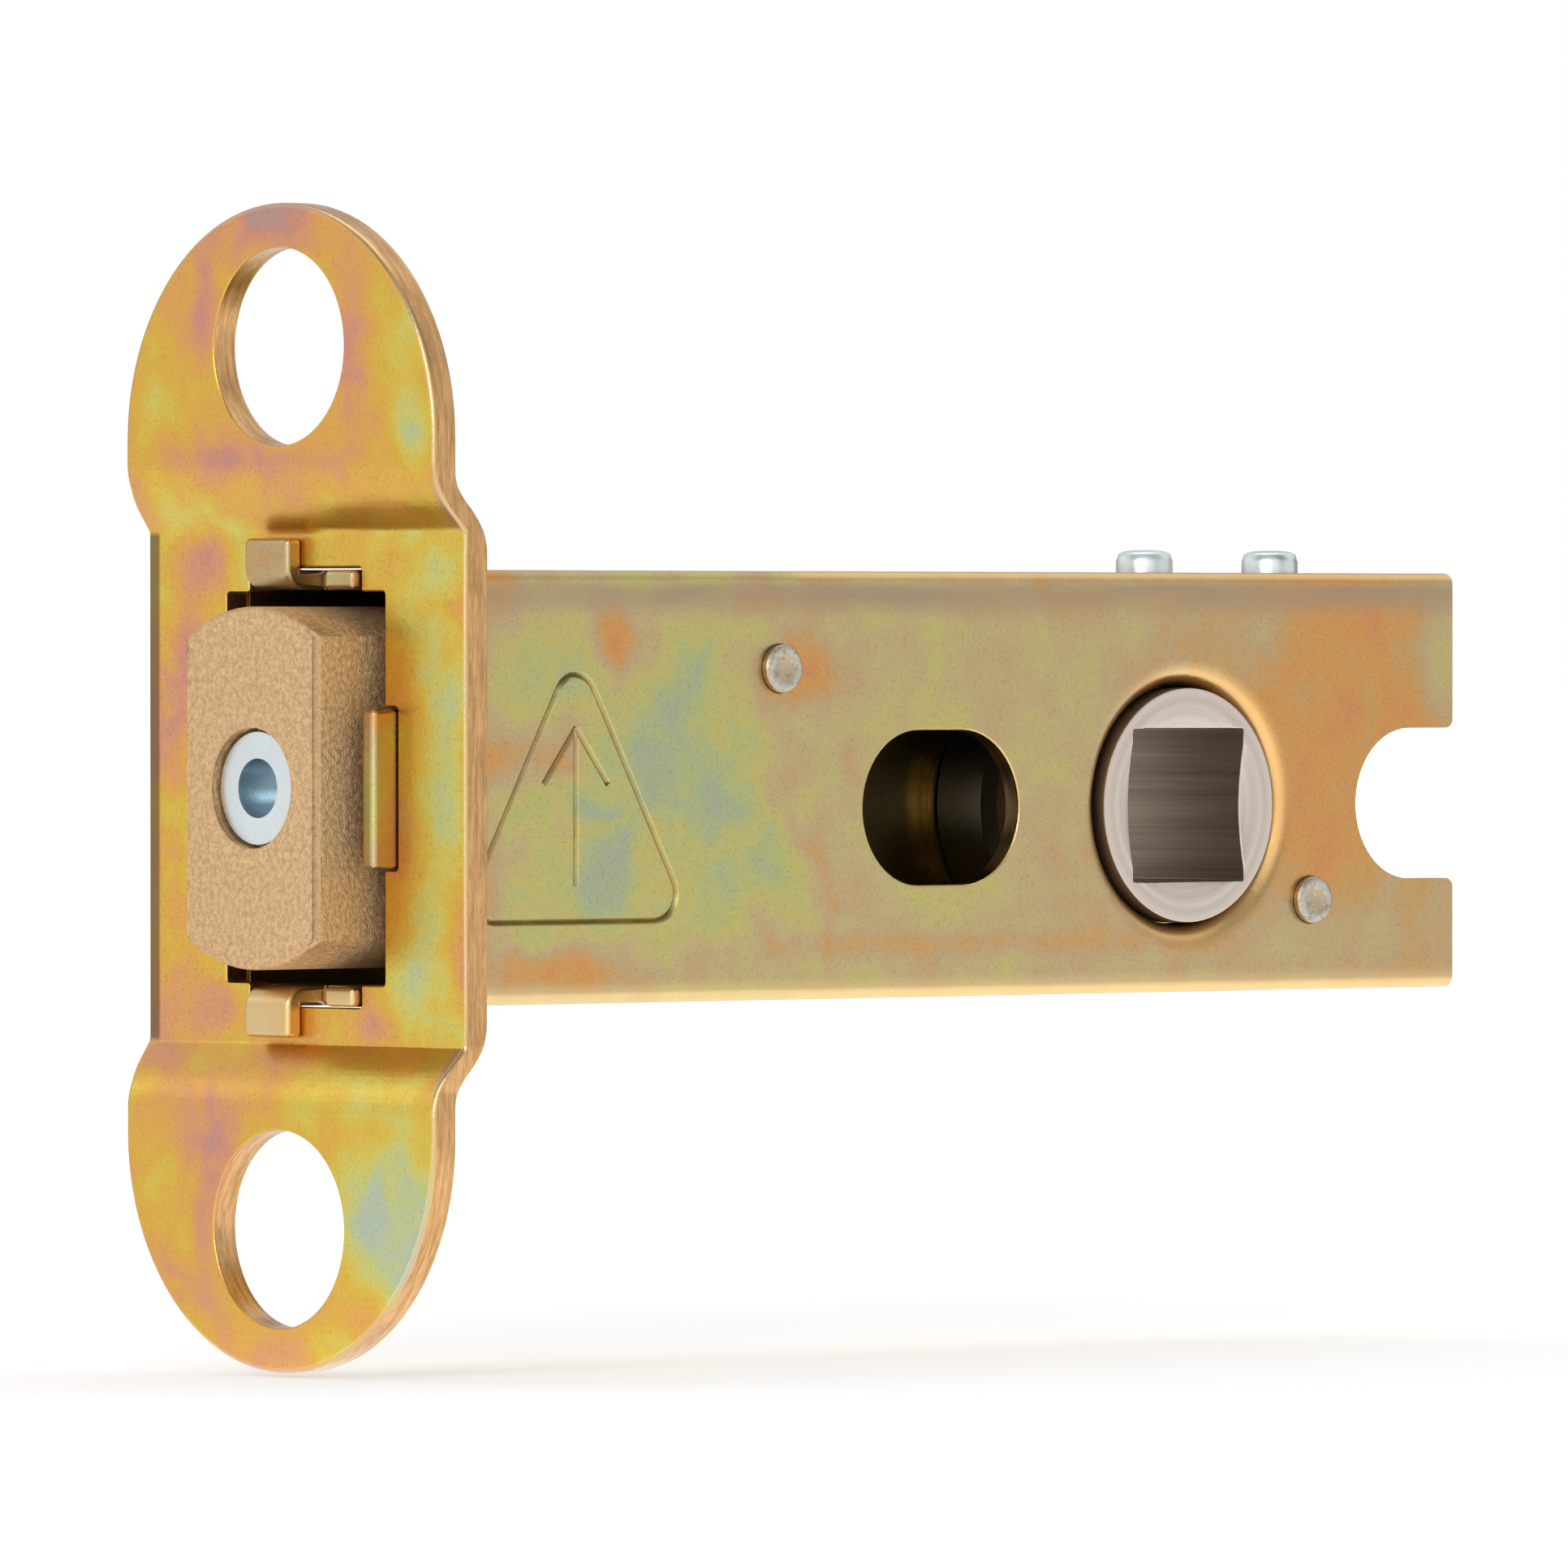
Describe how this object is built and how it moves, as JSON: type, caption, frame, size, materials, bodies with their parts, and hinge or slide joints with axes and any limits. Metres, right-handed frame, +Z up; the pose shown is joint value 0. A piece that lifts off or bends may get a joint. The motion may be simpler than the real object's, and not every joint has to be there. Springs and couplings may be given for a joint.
{
  "type": "tubular deadbolt",
  "caption": "Tubular mortice deadbolt: a flat case behind a joggled forend, with a square-drive follower that throws a double-D bolt.",
  "frame": {"origin": "midway between the two screw holes, on the front face of the inner forend's ears", "axes": "+X along the case into the door, +Z up as marked on the case, the bolt is thrown towards -X"},
  "size_m": [0.0783, 0.0244, 0.059],
  "materials": {
    "passivated_case": "iridescent yellow-passivated zinc on pressed steel",
    "passivated_forend": "iridescent yellow-passivated zinc on pressed steel",
    "bolt_bronze": "tumbled, fine grained",
    "bright_zinc": "bright zinc plate",
    "pin_steel": "riveted ends, dull grey",
    "sintered_steel": "machined end faces, dark body",
    "plate_steel": "blanked, lightly oiled",
    "spring_steel": "blued spring steel"
  },
  "bodies": {
    "case": {"case_near_half": "passivated_case", "case_far_half": "passivated_case", "inner_forend": "passivated_forend", "detent_spring": "spring_steel", "spring_rivets": "bright_zinc", "guide_pin": "pin_steel", "tie_pin": "pin_steel"},
    "bolt": {"bolt_head": "bolt_bronze", "bolt_stem": "bright_zinc", "stem_pin": "pin_steel", "tail_plate": "plate_steel"},
    "follower": {"follower": "sintered_steel"}
  },
  "joints": [
    {"name": "follower_turn", "type": "hinge", "parent": "case", "child": "follower", "pos_m": [0.057, 0, -0.0012], "axis": [0, -1, 0], "range_deg": [0, 90], "deforming": ["detent_spring"]},
    {"name": "bolt_throw", "type": "slide", "parent": "case", "child": "bolt", "axis": [-1, 0, 0], "range_m": [0, 0.012]}
  ],
  "couplings": [
    {"joint": "follower_turn", "follows": "bolt_throw", "rad_per_m": 130.9}
  ]
}
